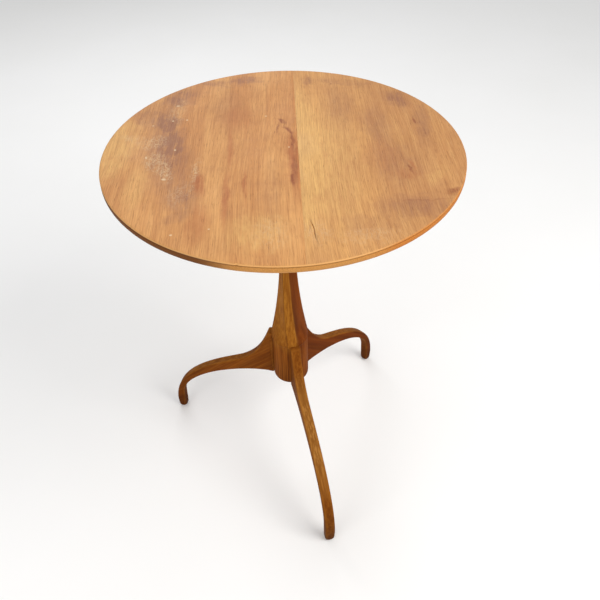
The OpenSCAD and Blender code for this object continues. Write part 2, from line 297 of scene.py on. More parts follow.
def stains(t, coords, table, seed, wander=1.0, broken=1.0):
    """The sum of a table of patches, with wandering outlines, broken up along the grain."""
    shift = t.vector("SUBTRACT", t.add(
        "ShaderNodeTexNoise", {"Vector": coords, "Scale": 42.0, "Detail": 4.0,
                               "Roughness": 0.65}).outputs["Color"], (0.5, 0.5, 0.5))
    ragged = t.vector("ADD", coords, t.vector(
        "MULTIPLY", shift, (0.03 * wander, 0.06 * wander, 0.0)))
    total = 0.0
    for centre, size, angle, strength in table:
        total = t.plus(total, t.times(patch(t, ragged, centre, size, angle, 0.75), strength))
    mottled = t.ramp(t.noise(coords, (130, 40, 130), 5.0, 0.7, seed), 0.3, 0.62,
                     1 - 0.6 * broken, 1.0)
    drawn = t.ramp(t.noise(coords, (340, 9, 340), 3.0, 0.6, seed + 2), 0.3, 0.65,
                   1 - 0.45 * broken, 1.0)
    return t.math("MULTIPLY", total, t.times(mottled, drawn), clamp=True)


def squiggles(t, coords, scale, width, seed):
    """Thin wandering lines, 1 on a line and 0 between."""
    n = t.noise(coords, scale, 3.0, 0.6, seed)
    off = t.math("ABSOLUTE", t.minus(n, 0.5))
    return t.ramp(off, width, width * 0.3)


def edge_colour_and_light(t, coords, height, fibres, streaks, narrow, blotches):
    """The edge keeps its old finish, tan in front; painted shade makes it nearly black-brown on
    the left and painted light makes it orange on the right. A painted highlight runs along the
    upper arris, painted shade darkens the groove, and underneath is dry wood."""
    x = t.plus(t.split(coords)[0], t.times(t.minus(blotches, 0.5), 0.1))
    # Painted shade darkens the edge on the left and painted light makes it orange on the right;
    # the tan in front is the finish.
    colour = t.layers(srgb(112, 66, 22), (
        (x, -0.12, -0.05, 1.0, srgb(206, 146, 78)),
        (x, 0.07, 0.15, 1.0, srgb(204, 126, 52)),
        (fibres, 0.4, 0.7, 0.5, srgb(116, 66, 24))))
    # Painted shade: a darker band in the groove below the upper arris.
    groove_shade = t.times(t.ramp(height, TOP_Z - 4.6 * MM, TOP_Z - 3.5 * MM),
                    t.ramp(height, TOP_Z - 2.2 * MM, TOP_Z - 3.1 * MM))
    colour = t.mix(t.times(groove_shade, 0.4), colour, srgb(84, 42, 16))
    # Painted highlight: a pale line along the rounded upper arris, strongest on the left and in
    # front.
    lip_highlight = t.times(t.ramp(height, TOP_Z - 2.4 * MM, TOP_Z - 1.5 * MM),
                 t.ramp(height, TOP_Z - 0.1 * MM, TOP_Z - 0.5 * MM))
    lip_highlight = t.times(lip_highlight, t.ramp(x, 0.07, 0.15, 0.75, 0.25))
    colour = t.mix(lip_highlight, colour, srgb(230, 176, 112))
    beneath = t.ramp(height, TOP_Z - 11.8 * MM, TOP_Z - 13.2 * MM)
    return t.mix(beneath, colour, underside_colour(t, coords, fibres, streaks, narrow, blotches))


def underside_colour(t, coords, fibres, streaks, narrow, blotches):
    """Never finished: dry and brown with age, darker in places and along the joint."""
    aged = t.noise(coords, (5, 3, 5), 3.0, 0.5, 97.0)
    from_joint = t.math("ABSOLUTE", t.minus(t.split(coords)[0], SEAM_X))
    return t.layers(srgb(170, 118, 72), (
        (streaks, 0.32, 0.68, 1.0, srgb(142, 92, 52)),
        (narrow, 0.42, 0.66, 0.42, srgb(112, 68, 36)),
        (narrow, 0.48, 0.34, 0.25, srgb(188, 138, 90)),
        (blotches, 0.45, 0.7, 0.6, srgb(118, 76, 44)),
        (fibres, 0.4, 0.68, 0.5, srgb(96, 58, 32)),
        (aged, 0.45, 0.62, 0.45, srgb(104, 64, 38)),
        (from_joint, 1.2 * MM, 0.3 * MM, 0.7, srgb(58, 34, 20))))


def board_colour(t, coords, left, streaks, narrow, blotches):
    """The board's own colour: honey with a drift from side to side and slow clouds."""
    drift = t.plus(t.split(coords)[0], t.times(t.minus(blotches, 0.5), 0.12))
    clouds = t.noise(coords, (24, 30, 24), 4.0, 0.6, 91.0)
    if left:
        light = srgb(226, 168, 104)
        own = ((streaks, 0.34, 0.68, 1.0, srgb(206, 144, 86)),
               (drift, -0.02, 0.03, 0.2, srgb(204, 142, 88)))
    else:
        light = srgb(226, 170, 104)
        own = ((streaks, 0.34, 0.68, 1.0, srgb(212, 158, 100)),
               (drift, 0.05, 0.20, 0.65, srgb(190, 138, 90)))
    return t.layers(light, own + (
        (narrow, 0.40, 0.68, 0.28, srgb(176, 116, 68)),
        (narrow, 0.50, 0.34, 0.16, srgb(232, 180, 116)),
        (clouds, 0.42, 0.68, 0.2, srgb(184, 128, 84)),
        (blotches, 0.44, 0.7, 0.3, srgb(184, 128, 88))))


def stained(t, coords, left, colour):
    """The pale parts, stains and knots over the board's own colour."""
    for tables, seed, wander, broken, share, tint in STAIN_KINDS:
        marks = stains(t, coords, tables[0 if left else 1], seed, wander, broken)
        colour = t.mix(t.times(marks, share), colour, tint)
    return colour


def scratches(t, coords, left):
    """Pale scuffs where the wax is rubbed through, and fine scratches along the grain."""
    scuffed = stains(t, coords, SCUFFS_LEFT if left else SCUFFS_RIGHT, 71.0)
    crazing = squiggles(t, coords, (170, 90, 170), 0.06, 77.0)
    hairs = t.ramp(t.noise(coords, (520, 26, 520), 2.0, 0.6, 81.0), 0.62, 0.72)
    worn = t.times(scuffed, t.plus(0.15, t.times(crazing, 0.85)))
    return t.math("MAXIMUM", worn, t.times(hairs, t.plus(0.12, t.times(scuffed, 0.6))))


def all_nicks(t, coords):
    nicks = 0.0
    for centre, size, angle in NICKS:
        nicks = t.math("MAXIMUM", nicks, patch(t, coords, centre, size, angle, 0.6))
    return nicks


def board_relief(t, coords, height, scratch, narrow, fibres, pores):
    """Fibres, pores and scratches, and below them the shallow hollows of the plane that
    thicknessed the boards."""
    relief = t.plus(t.times(fibres, 0.5), t.minus(t.times(narrow, 0.6), pores))
    relief = t.minus(relief, t.times(scratch, 0.8))
    hollows = t.add("ShaderNodeTexWave", {"Vector": coords, "Scale": 12.0, "Distortion": 1.6,
                                          "Detail": 2.0, "Detail Scale": 0.6},
                    bands_direction="X", wave_profile="SIN").outputs["Fac"]
    planed = t.times(t.ramp(height, UNDER_Z + 4 * MM, UNDER_Z + 1 * MM), hollows)
    return t.plus(relief, t.times(planed, 5.0))


def top_material(name, left):
    """Old waxed cherry board: worn and dull on top, darker and shinier round the edge."""
    t = Tree(name)
    coords = t.object_coords()
    height = t.split(coords)[2]
    streaks, narrow, fibres, pores, blotches = wood_figure(t, coords, 11.0 if left else 37.0)

    colour = board_colour(t, coords, left, streaks, narrow, blotches)
    colour = stained(t, coords, left, colour)
    colour = t.mix(t.ramp(fibres, 0.38, 0.68, 0.0, 0.42), colour, srgb(148, 96, 58))
    colour = t.mix(t.times(pores, 0.4), colour, srgb(108, 66, 40))
    scratch = scratches(t, coords, left)
    colour = t.mix(t.times(scratch, 0.65), colour, srgb(216, 186, 148))
    colour = t.mix(t.times(all_nicks(t, coords), 0.6), colour, srgb(236, 212, 172))
    edge = t.ramp(height, TOP_Z - 0.25 * MM, TOP_Z - 0.8 * MM)
    colour = t.mix(edge, colour,
                   edge_colour_and_light(t, coords, height, fibres, streaks, narrow, blotches))

    rough = t.plus(t.ramp(blotches, 0.3, 0.7, 0.46, 0.58),
                   t.times(t.minus(scratch, t.times(edge, 0.7)), 0.16))
    relief = board_relief(t, coords, height, scratch, narrow, fibres, pores)
    return t.finish(Base_Color=colour, Roughness=rough, Normal=t.bump(relief, TOP_RELIEF, 0.6),
                    Specular_IOR_Level=TOP_SHINE)


def faded_and_shaded(t, colour, streaks, narrow):
    """Light has faded the front. The red-brown on the faces turned away is painted shade, laid on
    by the mesh's tone.
    """
    # Painted shade: red-brown where the mesh's tone is high.
    shaded_red_brown = t.mix(t.ramp(streaks, 0.32, 0.68), srgb(120, 52, 13), srgb(80, 30, 8))
    colour = t.mix(t.times(t.attribute("tone", "Fac"), 0.85), colour, shaded_red_brown)
    sunned = t.mix(t.ramp(narrow, 0.36, 0.62), srgb(178, 124, 60), srgb(138, 88, 36))
    return t.mix(t.times(t.attribute("faded", "Fac"), 0.85), colour, sunned)


def shaded_below(t, colour, streaks, narrow):
    """Painted shade on the column's round base: striped and darker than its faces, with an uneven
    border.
    """
    uneven = t.times(t.minus(streaks, 0.5), 0.11)
    z = t.plus(t.split(t.object_coords())[2], uneven)
    # Painted shade: the base darkens downward from just above its top edge.
    low = t.ramp(z, (BASE_TOP + 8) * MM, (BASE_TOP - 24) * MM, 0.0, 0.8)
    striped = t.ramp(narrow, 0.36, 0.62)
    return t.mix(low, colour, t.mix(striped, srgb(146, 80, 24), srgb(92, 42, 12)))


def rubbed_dirty_and_painted_light(t, colour, coords, rubbed, seed):
    """Rubbed edges with painted light on the legs' ledges, and dirt with painted shade, from the
    shares stored on the mesh.
    """
    patchy = t.ramp(t.noise(coords, (90, 24, 90), 4.0, 0.6, seed + 20), 0.35, 0.7)
    # The wear share also carries painted light on the legs' ledge tops.
    worn = t.times(t.attribute("wear", "Fac"), t.plus(0.25, t.times(patchy, 0.5)))
    colour = t.mix(t.times(worn, 0.6), colour, rubbed)
    # This share darkens with dirt and with painted shade.
    grime = t.attribute("grime", "Fac")
    return t.mix(t.times(grime, 0.7), colour, srgb(44, 22, 9))


def frame_material(name, palette, seed, turn=None, rough=(0.42, 0.56), round_base=False):
    """Cherry of the column, legs, block or battens. palette is light, mid, dark and rubbed.
    With turn the grain follows the object's own coordinates, rotated by it. Without, it
    follows the attribute "grain", and the mesh has shares of wear with painted light, dirt with
    painted shade, tone (painted shade in red-brown) and fading."""
    t = Tree(name)
    light, mid, dark, rubbed = palette
    if turn is None:
        coords = t.attribute("grain", "Vector")
    else:
        coords = t.add("ShaderNodeMapping", {"Vector": t.object_coords(), "Rotation": turn},
                       vector_type="POINT").outputs[0]
    streaks, narrow, fibres, pores, blotches = wood_figure(t, coords, seed, 46.0)
    colour = t.layers(light, (
        (streaks, 0.3, 0.7, 1.0, mid), (blotches, 0.4, 0.75, 0.5, dark),
        (narrow, 0.42, 0.68, 0.55, dark), (narrow, 0.50, 0.34, 0.35, rubbed),
        (fibres, 0.35, 0.75, 0.3, dark)))
    colour = t.mix(t.times(pores, 0.35), colour, srgb(46, 22, 8))
    if turn is None:
        colour = faded_and_shaded(t, colour, streaks, narrow)
    if round_base:
        colour = shaded_below(t, colour, streaks, narrow)
    if turn is None:
        colour = rubbed_dirty_and_painted_light(t, colour, coords, rubbed, seed)
    knocks = t.ramp(t.noise(coords, (150, 90, 150), 3.0, 0.7, seed + 31), 0.66, 0.74)
    colour = t.mix(t.times(knocks, 0.35), colour, srgb(54, 26, 10))
    relief = t.minus(t.plus(t.times(fibres, 0.5), t.times(blotches, 1.2)),
                     t.plus(pores, knocks))
    return t.finish(Base_Color=colour,
                    Roughness=t.ramp(blotches, 0.3, 0.7, *rough),
                    Normal=t.bump(relief, FRAME_RELIEF, 0.6), Specular_IOR_Level=FRAME_SHINE,
                    Specular_Tint=srgb(206, 150, 104))


# Light, mid, dark and rubbed
COLUMN_PALETTE = (srgb(172, 112, 38), srgb(150, 90, 28), srgb(108, 56, 18), srgb(190, 130, 54))
LEG_PALETTE = (srgb(140, 80, 22), srgb(122, 65, 18), srgb(92, 46, 13), srgb(164, 104, 38))
FRAME_PALETTE = (srgb(138, 90, 46), srgb(116, 70, 34), srgb(78, 44, 20), srgb(158, 110, 62))
WEDGE_PALETTE = (srgb(196, 150, 96), srgb(176, 128, 78), srgb(132, 88, 50), srgb(200, 160, 110))


def metal_material(name, light, dark, rough, spots):
    """Old hardware: brushed along X, with tarnish in patches."""
    t = Tree(name)
    coords = t.object_coords()
    brushed = t.noise(coords, (90, 2600, 2600), 3.0, 0.6, 3.0)
    tarnish = t.noise(coords, (70, 70, 70), 4.0, 0.55, 9.0)
    pits = t.ramp(t.noise(coords, (900, 900, 900), 2.0, 0.5, 15.0), 0.62, 0.72)
    dull = t.ramp(tarnish, 0.42, 0.66)
    colour = t.mix(t.times(dull, 0.6), light, dark)
    colour = t.mix(t.times(pits, 0.35), colour, spots)
    relief = t.minus(t.times(brushed, 0.6), pits)
    return t.finish(Base_Color=colour, Metallic=1.0,
                    Roughness=t.plus(t.times(dull, 0.22), rough),
                    Normal=t.bump(relief, METAL_RELIEF, 0.5))


# ---- Mesh helpers ----
def make_object(name, bm, material, sharp=32.0):
    """Turns a bmesh into a smooth-shaded object whose origin is the frame's origin. Edges
    that bend more than sharp, in degrees, stay sharp."""
    bmesh.ops.remove_doubles(bm, verts=bm.verts, dist=1e-6)
    bmesh.ops.recalc_face_normals(bm, faces=bm.faces)
    mesh = bpy.data.meshes.new(name)
    bm.to_mesh(mesh)
    bm.free()
    mesh.shade_smooth()
    mesh.set_sharp_from_angle(angle=math.radians(sharp))
    mesh.materials.append(material)
    obj = bpy.data.objects.new(name, mesh)
    bpy.context.collection.objects.link(obj)
    return obj


def skin(bm, rings):
    """Quads between rings of equally many points, with an n-gon at each end."""
    rows = [[bm.verts.new(p) for p in ring] for ring in rings]
    count = len(rings[0])
    for a, b in zip(rows, rows[1:]):
        for i in range(count):
            j = (i + 1) % count
            bm.faces.new((a[i], a[j], b[j], b[i]))
    bm.faces.new(rows[0])
    bm.faces.new(rows[-1])


def store(obj, name, kind, values):
    attribute = obj.data.attributes.new(name, kind, "POINT")
    key = "vector" if kind == "FLOAT_VECTOR" else "value"
    flat = [c for v in values for c in v] if kind == "FLOAT_VECTOR" else list(values)
    attribute.data.foreach_set(key, flat)


def mark(obj, grain, **shares):
    """Stores what the wood's material reads: the grain's own coordinates, and shares from 0
    to 1 of wear with painted light, dirt with painted shade, tone (painted shade in red-brown) and
    fading."""
    store(obj, "grain", "FLOAT_VECTOR", grain)
    for name, values in shares.items():
        store(obj, name, "FLOAT", values)


def clamp(v):
    return min(max(v, 0.0), 1.0)


def bezier(a, b, c, d, steps):
    """Points along a cubic curve from a to d."""
    a, b, c, d = (Vector(p) for p in (a, b, c, d))
    out = []
    for i in range(steps + 1):
        t = i / steps
        s = 1 - t
        out.append(s ** 3 * a + 3 * s * s * t * b + 3 * s * t * t * c + t ** 3 * d)
    return out


def arc(centre, radius, start, end, steps):
    """Points along a circle, from one angle to another in degrees."""
    out = []
    for i in range(steps + 1):
        a = math.radians(start + (end - start) * i / steps)
        out.append(Vector(centre) + radius * Vector((math.cos(a), math.sin(a))))
    return out


# ---- Top ----
# Edge of the top: how far in from the full radius, and how far below the surface.
RIM = [(3.4, 0), (2.2, 0.05), (1.2, 0.3), (0.5, 0.8), (0.15, 1.5), (0.15, 2.3), (0.55, 2.9),
       (0.85, 3.3), (0.6, 3.8), (0.25, 4.6), (0.0, 6.4), (0.05, 8.6), (0.35, 10.6), (1.1, 12.1),
       (2.4, 13.0), (4.4, 13.5), (22, 18)]
# Knocks in the edge: angle round the top in degrees, half width and depth.
DENTS = [(257.0, 3.4, 1.5), (222.0, 4.0, 0.5), (291.0, 2.4, 0.6), (318.0, 5.0, 0.4),
         (338.0, 3.0, 0.5), (204.0, 2.6, 0.5), (70.0, 4.0, 0.6), (140.0, 3.0, 0.5)]
RIM_STEP = 0.75     # degrees between points round the edge
DENT_H = 4.5        # how far below the surface a knock reaches
UNEVEN = 0.06       # how far the surface dips, as a hand-planed board does
RAGGED = 0.10       # how far the worn edge wanders
# The edges along the joint: how wide they are eased, and how deep above and below.
EASE_WIDTH = 0.5
EASE_ABOVE = 0.22
EASE_BELOW = 0.35


def rim_angles():
    """Even steps round the edge, and closer ones across each knock."""
    angles = {round(RIM_STEP * i, 3) for i in range(round(360 / RIM_STEP))}
    for centre, half, _ in DENTS:
        for k in range(-12, 13):
            angles.add(round(centre + k * 0.05 * half, 3))
    return sorted(angles)


def rim_dent(angle, drop):
    """How far the edge is knocked in, in millimetres."""
    total = 0.0
    for centre, half, depth in DENTS:
        off = abs(angle - centre) * math.radians(1) * TOP_R / MM / half
        if off < 1:
            total += depth * (0.5 + 0.5 * math.cos(math.pi * off)) * max(0.0, 1 - drop / DENT_H)
    return total


def top_section():
    """(radius, height, drop) from the middle of the surface round to the underside."""
    inner = [20, 60, 100, 140, 180, 220, 255]
    radius = TOP_R / MM
    section = [(r, TOP_Z / MM, 0.0) for r in inner]
    section += [(radius - inset, TOP_Z / MM - drop, drop) for inset, drop in RIM]
    section += [(r, UNDER_Z / MM, RIM[-1][1]) for r in reversed(inner)]
    return section


def whole_top():
    """The two boards as one disc of rings, gently uneven on top as a hand-planed board is."""
    bm = bmesh.new()
    angles = rim_angles()
    rings = []
    for radius, height, drop in top_section():
        ring = []
        for angle in angles:
            a = math.radians(angle)
            direction = Vector((math.cos(a), math.sin(a), 0))
            on_edge = radius > TOP_R / MM - 4 and drop < DENT_H
            inset = rim_dent(angle, drop) if on_edge else 0.0
            ragged = noise.noise(direction * 30 + Vector((0, 0, drop)))
            inset += RAGGED * ragged if 0 < drop < 14 else 0.0
            place = direction * (min(radius - inset, TOP_R / MM) * MM)
            wave = noise.noise(Vector((place.x * 9, place.y * 4, 3.0)))
            lift = -UNEVEN * (1 + wave) if drop < 2 else 0.0
            ring.append((place.x, place.y, (height + lift) * MM))
        rings.append(ring)
    skin(bm, rings)
    return bm


def board(name, keep_left, material):
    """One board: half of the disc, with its edge along the joint eased a little."""
    bm = whole_top()
    inner_side = -1 if keep_left else 1
    bmesh.ops.bisect_plane(bm, geom=bm.verts[:] + bm.edges[:] + bm.faces[:],
                           plane_co=(SEAM_X + inner_side * EASE_WIDTH * MM, 0, 0),
                           plane_no=(1, 0, 0))
    bmesh.ops.bisect_plane(bm, geom=bm.verts[:] + bm.edges[:] + bm.faces[:],
                           plane_co=(SEAM_X, 0, 0), plane_no=(1, 0, 0),
                           clear_outer=keep_left, clear_inner=not keep_left)
    bmesh.ops.edgeloop_fill(bm, edges=[e for e in bm.edges if e.is_boundary])
    for v in bm.verts:
        if abs(v.co.x - SEAM_X) > 1e-6:
            continue
        if v.co.z > TOP_Z - 0.5 * MM:
            v.co.z -= EASE_ABOVE * MM
        if v.co.z < UNDER_Z + 0.5 * MM:
            v.co.z += EASE_BELOW * MM
    return make_object(name, bm, material, sharp=40.0)


def cut_crack(obj):
    """A short open shake in the surface of the right board, wider in the middle."""
    start, end, half = CRACK
    a, b = Vector(start), Vector(end)
    side = (b - a).orthogonal().normalized()
    points = []
    steps = 9
    for sign, order in ((1, range(steps + 1)), (-1, range(steps - 1, 0, -1))):
        for i in order:
            t = i / steps
            bow = 1.2 * math.sin(t * math.pi * 1.6)
            width = half * math.sin(math.pi * t) ** 0.8 * (0.75 + 0.25 * math.sin(9 * t))
            points.append(a.lerp(b, t) + side * (bow + sign * width))
    bm = bmesh.new()
    skin(bm, [[(p.x * MM, p.y * MM, TOP_Z + z * MM) for p in points] for z in (-2.2, 1.0)])
    cutter = make_object("crack_cutter", bm, obj.data.materials[0])
    boolean = obj.modifiers.new("crack", "BOOLEAN")
    boolean.operation = "DIFFERENCE"
    boolean.solver = "EXACT"
    boolean.object = cutter
    bpy.context.view_layer.objects.active = obj
    bpy.ops.object.modifier_apply(modifier=boolean.name)
    bpy.data.objects.remove(cutter)


# ---- Column ----
CORNER = 1.3        # how far the softened corners reach into the faces
FACE_STEPS = 10
UNFLAT = 0.16 / 30  # how far the faces are from flat, as a share of their distance
TENON_R = 10.95
RADIAN = 57         # in degrees
# How much painted shade, in red-brown, each face gets, by its angle from the front narrow face.
FACE_SHADES = {0: 0.0, 60: 1.0, 120: 0.9, 180: 0.6, 240: 0.5, 300: 0.2}
# Middle of a patch of painted shade on the round base, to the left of the front leg
SHADE_AZIMUTH = -114
SHADE_Z = 215


def face_distances(z):
    """Distance of the narrow and of the wide faces from the axis at a height."""
    flare = clamp((FLARE_TOP - z) / (FLARE_TOP - BASE_TOP))
    return [n + (f - n) * flare ** power for n, f, power in zip(NECK, FLARE, FLARE_POWERS)]


def hexagon(z):
    """A ring round the column: six flat faces joined by softened corners. Towards the base
    the wide faces round out."""
    narrow, wide = face_distances(z)
    turn = FACE_TURN - FACE_TWIST * clamp((z - BASE_TOP) / (TWIST_TOP - BASE_TOP))
    out = clamp((ROUND_TOP - z) / (ROUND_TOP - BASE_TOP)) ** ROUND_POWER
    corners = []
    for k in range(6):
        a = math.radians(turn + 60 * k)
        b = a + math.radians(60)
        here, after = (narrow, wide) if k % 2 == 0 else (wide, narrow)
        corners.append(Vector((here * math.sin(b) - after * math.sin(a),
                               after * math.cos(a) - here * math.cos(b))) / math.sin(b - a))
    ring = []
    for k in range(6):
        before, at, after = corners[k - 1], corners[k], corners[(k + 1) % 6]
        p = at + (before - at).normalized() * CORNER
        q = at + (after - at).normalized() * CORNER
        for t in (0.0, 0.25, 0.5, 0.75, 1.0):
            ring.append(p * (1 - t) ** 2 + at * 2 * t * (1 - t) + q * t * t)
        r = after + (at - after).normalized() * CORNER
        for i in range(1, FACE_STEPS):
            point = q.lerp(r, i / FACE_STEPS)
            if k % 2 == 0:
                middle = 1 - abs(2 * i / FACE_STEPS - 1) ** 5
                radius = at.length + (BASE_R + 0.4 - at.length) * middle
                point *= 1 + out * (radius / point.length - 1)
            ring.append(point)
    return ring


def column_rings():
    """Rings from under the block down to the middle of the domed bottom."""
    rings = []
    upper = [BLOCK_Z / MM] + [FLARE_TOP - 1.0 * i for i in range(0, 4)]
    upper += [FLARE_TOP - 4 - (FLARE_TOP - 4 - ROUND_TOP) * i / 30 for i in range(1, 31)]
    upper += [ROUND_TOP - (ROUND_TOP - BASE_TOP) * i / 22 for i in range(1, 23)]
    for z in upper:
        rings.append([p.to_3d() + Vector((0, 0, z)) for p in hexagon(z)])
    last = hexagon(BASE_TOP)
    for part, drop in ((0.25, 0.7), (0.6, 1.4), (0.9, 2.1)):
        rings.append([(p * (1 + part * (BASE_R / p.length - 1))).to_3d()
                      + Vector((0, 0, BASE_TOP - drop)) for p in last])
    directions = [p.normalized() for p in last]
    low = COLUMN_Z / MM
    wall = [(BASE_R, BASE_TOP - 3.0)]
    wall += [(BASE_R, BASE_TOP - (BASE_TOP - low - DOME_H) * i / 14) for i in range(1, 15)]
    wall += [(BASE_R * math.cos(a), low + DOME_H * (1 - math.sin(a)))
             for a in (math.radians(90 * i / 16) for i in range(1, 16))]
    wall.append((0.6, low + 0.02))
    for radius, z in wall:
        rings.append([(d * radius).to_3d() + Vector((0, 0, z)) for d in directions])
    return rings


def face_azimuth(x, y, z):
    """Angle from the middle of the front narrow face, and half the angle it takes up."""
    turn = FACE_TURN - FACE_TWIST * clamp((z - BASE_TOP) / (TWIST_TOP - BASE_TOP))
    narrow, wide = face_distances(z)
    half = (wide - narrow / 2) / math.sin(math.radians(60))
    return math.degrees(math.atan2(y, x)) - turn, math.degrees(math.atan2(half, narrow))


def face_shade(azimuth, corner):
    around = (azimuth + corner) % 360
    middle = 120 * (around // 120) + (0 if around % 120 < 2 * corner else 60)
    return FACE_SHADES[int(middle)]


def blended_shade(azimuth, corner):
    """A face's painted shade, which passes into the next one's across their corner."""
    return sum(face_shade(azimuth + step, corner) for step in (-1.5, -0.5, 0.5, 1.5)) / 4


def corner_wear(azimuth, corner, radius, z):
    """The corners on the right are rubbed, above the round base."""
    if azimuth <= 0 or z <= BASE_TOP + 10:
        return 0.0
    from_corner = abs(abs((azimuth + 60) % 120 - 60) - corner) * radius / RADIAN
    return clamp(1 - from_corner / 1.8)


def column_grime(azimuth, corner, x, y, z):
    """Painted shade at the bottom, darker at the joint and towards the block, a fine dark line
    down the ridge at the left of the front face, and painted shade to the left of the front leg."""
    # Painted shade towards the bottom of the column.
    low = 0.4 * clamp(1 - (z - COLUMN_Z / MM) / 40)
    joint = 0.15 * clamp(1 - abs(z - BASE_TOP) / 3)
    near_block = 0.6 * clamp(1 - (BLOCK_Z / MM - z) / 30)
    from_ridge = abs(azimuth + corner) * math.hypot(x, y) / RADIAN
    ridge = 0.8 * clamp(1 - from_ridge / 0.8) if z > BASE_TOP else 0.0
    turned = math.degrees(math.atan2(y, x))
    # Painted shade on the base beside the front leg.
    dark = 0.28 * clamp(1.4 - abs(turned - SHADE_AZIMUTH) / 11)
    dark *= clamp(1.4 - abs(z - SHADE_Z) / 30)
    return min(1.0, low + joint + near_block + ridge + dark)


def column(material):
    bm = bmesh.new()
    rings = []
    for ring in column_rings():
        out = []
        for p in ring:
            # Left by the drawknife and the scraper: the faces are not quite flat.
            swell = 1 + UNFLAT * noise.noise(Vector((p.x * 0.05, p.y * 0.05, p.z * 0.022)))
            out.append((p.x * swell * MM, p.y * swell * MM, p.z * MM))
        rings.append(out)
    skin(bm, rings)
    obj = make_object("column_turned", bm, material, sharp=42.0)
    grain, wear, grime, tone = [], [], [], []
    for v in obj.data.vertices:
        grain.append((v.co.x, v.co.z, v.co.y))
        x, y, z = v.co / MM
        azimuth, corner = face_azimuth(x, y, z)
        azimuth = (azimuth + 180) % 360 - 180
        # Painted shade on each face, passing across the corners.
        tone.append(blended_shade(azimuth, corner))
        wear.append(corner_wear(azimuth, corner, math.hypot(x, y), z))
        grime.append(column_grime(azimuth, corner, x, y, z))
    mark(obj, grain, wear=wear, grime=grime, tone=tone)
    return obj


def tenon(material):
    """The column's round tenon, seen in the top of the block when the top is tilted."""
    bm = bmesh.new()
    radius = TENON_R * MM
    ring = [(radius * math.cos(math.tau * i / 48), radius * math.sin(math.tau * i / 48))
            for i in range(48)]
    skin(bm, [[(x * s, y * s, z) for x, y in ring]
              for s, z in ((1, BLOCK_Z - 1 * MM), (1, BLOCK_TOP - 0.5 * MM), (0.96, BLOCK_TOP))])
    obj = make_object("column_tenon", bm, material)
    count = len(obj.data.vertices)
    mark(obj, [(v.co.x, v.co.z, v.co.y) for v in obj.data.vertices],
         wear=[0.0] * count, grime=[0.2] * count, tone=[0.3] * count)
    return obj


# ---- Legs ----
ROUND = 3.0         # radius of the long edges, and of the edges at the foot
TOE_ROUND = 7.0
LEFT_GAP = 5.0      # how far the left leg's joint has opened
GRAIN_ANGLE = math.radians(-42)
# How much painted shade, in red-brown, the sides of each leg get
LEG_SIDE_SHADES = {"leg_front": 0.0, "leg_right": 0.9, "leg_left": 0.35}


def leg_outline(faired, gap, reach):
    """Side view of a leg, as radius and height in millimetres, clockwise from the top of its
    shoulder, as part.scad draws it. gap is how far the joint has opened below the ledge, and
    reach is the radius of the outside of the foot."""
    top = LEDGE_Z / MM
    foot_in = reach - FOOT_W
    if faired:
        shoulder = bezier((FLARE[0] - 0.5, top - 0.3), (50, 257), (68, 220), KNEE, 26)
    else:
        shoulder = arc((41, top - 4), 4, 90, 10, 6) + bezier((45, top - 5), (56, 252), (63, 223),
                                                             KNEE, 24)
    arch = bezier(KNEE, (KNEE.x + 25, KNEE.y - 19), (reach, 139), (reach, 24), 40)
    toe = arc((reach - TOE_R, TOE_R), TOE_R, 0, -90, 8)
    toe += arc((foot_in + TOE_R, TOE_R), TOE_R, -90, -180, 8)
    under = bezier((foot_in, 45), (foot_in, 120), (111, LEG_Z), (SEAT_R + gap + 1.5, LEG_Z), 40)
    rise = []
    for k in range(21):
        z = LEG_Z + 0.8 + (top - 1.2 - LEG_Z) * k / 20
        rise.append(Vector((SEAT_R + opening(z, gap), z)))
    points = shoulder + arch[1:] + toe + under + rise
    clean = [points[0]]
    for p in points[1:]:
        if (p - clean[-1]).length > 0.35:
            clean.append(p)
    return clean


def opening(z, gap):
    """How far the joint stands open at a height: closed under the ledge."""
    return gap * clamp((z - LEG_Z) / 60 + 0.4) * clamp((LEDGE_Z / MM - 13 - z) / 5)


def outward(points):
    """Unit normals of a closed outline that runs clockwise, pointing out of it."""
    normals = []
    for i in range(len(points)):
        a, b = points[i - 1], points[(i + 1) % len(points)]
        d = (b - a).normalized()
        normals.append(Vector((-d.y, d.x)))
    return normals


def leg_section():
    """Across a leg, from a flat side round to an edge face's middle. Each row says how far
    into the rounding and over it, in its radius, and how much further in, in millimetres."""
    corner = [math.radians(15 * k) for k in range(7)]
    section = [(1.0, 0.0, 0.6)] + [(1 - math.sin(a), 1 - math.cos(a), 0.0) for a in corner]
    section += [(0.0, 1.6, -0.1), (0.0, None, -0.15)]
    return [(1, row) for row in section] + [(-1, row) for row in reversed(section[:-1])]


def leg_point(p, normal, side, row, gap, seed):
    """Distance from the axis, distance across and height of a point of the leg's skin, in
    millimetres, from point p of the outline."""
    into, over, more = row
    half = LEG_T / 2
    # Edges that meet the column are only eased, and the foot is rubbed quite round.
    seat = clamp((SEAT_R + gap + 3 - p.x) / 3)
    toe = clamp((15 - p.y) / 12)
    radius = (ROUND + (TOE_ROUND - ROUND) * toe) * (1 - 0.8 * seat)
    wobble = 0.25 * noise.noise(Vector((p.x * 0.02, p.y * 0.02, seed)))
    q = p - normal * (radius * into + more * (1 - seat) + (0.1 * wobble if into else 0.0))
    if abs(p.x - SEAT_R - opening(p.y, gap)) < 0.01 and not into and more < 0:
        q.x = SEAT_R
    across = 0.0 if over is None else side * (half - radius * over)
    if abs(across) > half - 1:
        across *= 1 - 0.012 * (1 + wobble)
    return q.x, across, max(0.0, q.y)


def leg_fading(r, t, z, in_front):
    """The outer faces have faded, but not at the shoulder and the foot, and the front leg's
    most. r is from the column's axis and t from the middle of the board."""
    if in_front:
        open_face = clamp((r - 60) / 30) * clamp((z - 92) / 60)
        return open_face * (1.0 if abs(t) < LEG_T / 2 - 0.6 else 0.2)
    open_face = clamp((r - 75) / 30) * clamp((z - 90) / 50)
    return open_face * (0.28 if abs(t) < LEG_T / 2 - 1.5 else 0.0)


